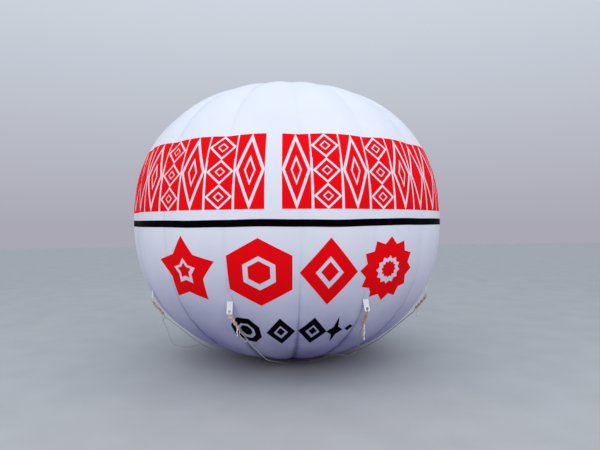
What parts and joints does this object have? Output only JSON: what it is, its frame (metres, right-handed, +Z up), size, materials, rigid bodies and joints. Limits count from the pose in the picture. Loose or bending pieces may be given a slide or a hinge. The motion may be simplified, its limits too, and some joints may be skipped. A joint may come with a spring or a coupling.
{
  "type": "advertising balloon",
  "caption": "Large round inflated film balloon with printed bands, eyelet straps low on its hull, knotted tether ropes and a ring under it.",
  "frame": {"origin": "middle of the balloon's underside, on the ground plane that its ropes and ring lie on", "axes": "+Z up along the balloon's axis, -Y towards the front seam, between the printed shapes, +X to its right"},
  "size_m": [3.5718, 3.5718, 3.2141],
  "materials": {
    "film": "soft gloss PVC film, air-filled",
    "red_print": "printed film",
    "black_print": "printed film",
    "strap_film": "doubled coated fabric",
    "rope": "twisted cord",
    "steel": "galvanised"
  },
  "bodies": {
    "envelope": {"gore_01": "film", "gore_02": "film", "gore_03": "film", "gore_04": "film", "gore_05": "film", "gore_06": "film", "gore_07": "film", "gore_08": "film", "gore_09": "film", "gore_10": "film", "gore_11": "film", "gore_12": "film", "gore_13": "film", "gore_14": "film", "gore_15": "film", "gore_16": "film", "crown_disc": "film", "base_disc": "film", "filler_neck": "film", "neck_tie": "rope", "tether_ring": "steel", "strap_patch_1": "strap_film", "strap_patch_2": "strap_film", "strap_patch_3": "strap_film", "strap_patch_4": "strap_film", "strap_patch_5": "strap_film", "strap_patch_6": "strap_film", "strap_patch_7": "strap_film", "strap_patch_8": "strap_film", "rope_1": "rope", "rope_2": "rope", "rope_3": "rope", "rope_4": "rope", "rope_5": "rope", "rope_6": "rope", "rope_7": "rope", "rope_8": "rope", "rope_bight_3": "rope", "rope_bight_4": "rope"},
    "hanging_strap_1": {"strap_1": "strap_film", "rope_knots_1": "rope"},
    "hanging_strap_2": {"strap_2": "strap_film", "rope_knots_2": "rope"},
    "hanging_strap_3": {"strap_3": "strap_film", "rope_knots_3": "rope"},
    "hanging_strap_4": {"strap_4": "strap_film", "rope_knots_4": "rope"},
    "hanging_strap_5": {"strap_5": "strap_film", "rope_knots_5": "rope"},
    "hanging_strap_6": {"strap_6": "strap_film", "rope_knots_6": "rope"},
    "hanging_strap_7": {"strap_7": "strap_film", "rope_knots_7": "rope"},
    "hanging_strap_8": {"strap_8": "strap_film", "rope_knots_8": "rope"}
  },
  "joints": [
    {"name": "strap_swing_1", "type": "hinge", "parent": "envelope", "child": "hanging_strap_1", "pos_m": [-0.62564, 1.51042, 0.868], "axis": [0.9239, 0.3827, 0], "range_deg": [-3, 60]},
    {"name": "strap_swing_2", "type": "hinge", "parent": "envelope", "child": "hanging_strap_2", "pos_m": [-1.51042, 0.62564, 0.868], "axis": [0.3827, 0.9239, 0], "range_deg": [-3, 60]},
    {"name": "strap_swing_3", "type": "hinge", "parent": "envelope", "child": "hanging_strap_3", "pos_m": [-1.51042, -0.62564, 0.868], "axis": [-0.3827, 0.9239, 0], "range_deg": [-3, 60]},
    {"name": "strap_swing_4", "type": "hinge", "parent": "envelope", "child": "hanging_strap_4", "pos_m": [-0.62564, -1.51042, 0.868], "axis": [-0.9239, 0.3827, 0], "range_deg": [-3, 60]},
    {"name": "strap_swing_5", "type": "hinge", "parent": "envelope", "child": "hanging_strap_5", "pos_m": [0.62564, -1.51042, 0.868], "axis": [-0.9239, -0.3827, 0], "range_deg": [-3, 60]},
    {"name": "strap_swing_6", "type": "hinge", "parent": "envelope", "child": "hanging_strap_6", "pos_m": [1.51042, -0.62564, 0.868], "axis": [-0.3827, -0.9239, 0], "range_deg": [-3, 60]},
    {"name": "strap_swing_7", "type": "hinge", "parent": "envelope", "child": "hanging_strap_7", "pos_m": [1.51042, 0.62564, 0.868], "axis": [0.3827, -0.9239, 0], "range_deg": [-3, 60]},
    {"name": "strap_swing_8", "type": "hinge", "parent": "envelope", "child": "hanging_strap_8", "pos_m": [0.62564, 1.51042, 0.868], "axis": [0.9239, -0.3827, 0], "range_deg": [-3, 60]}
  ]
}
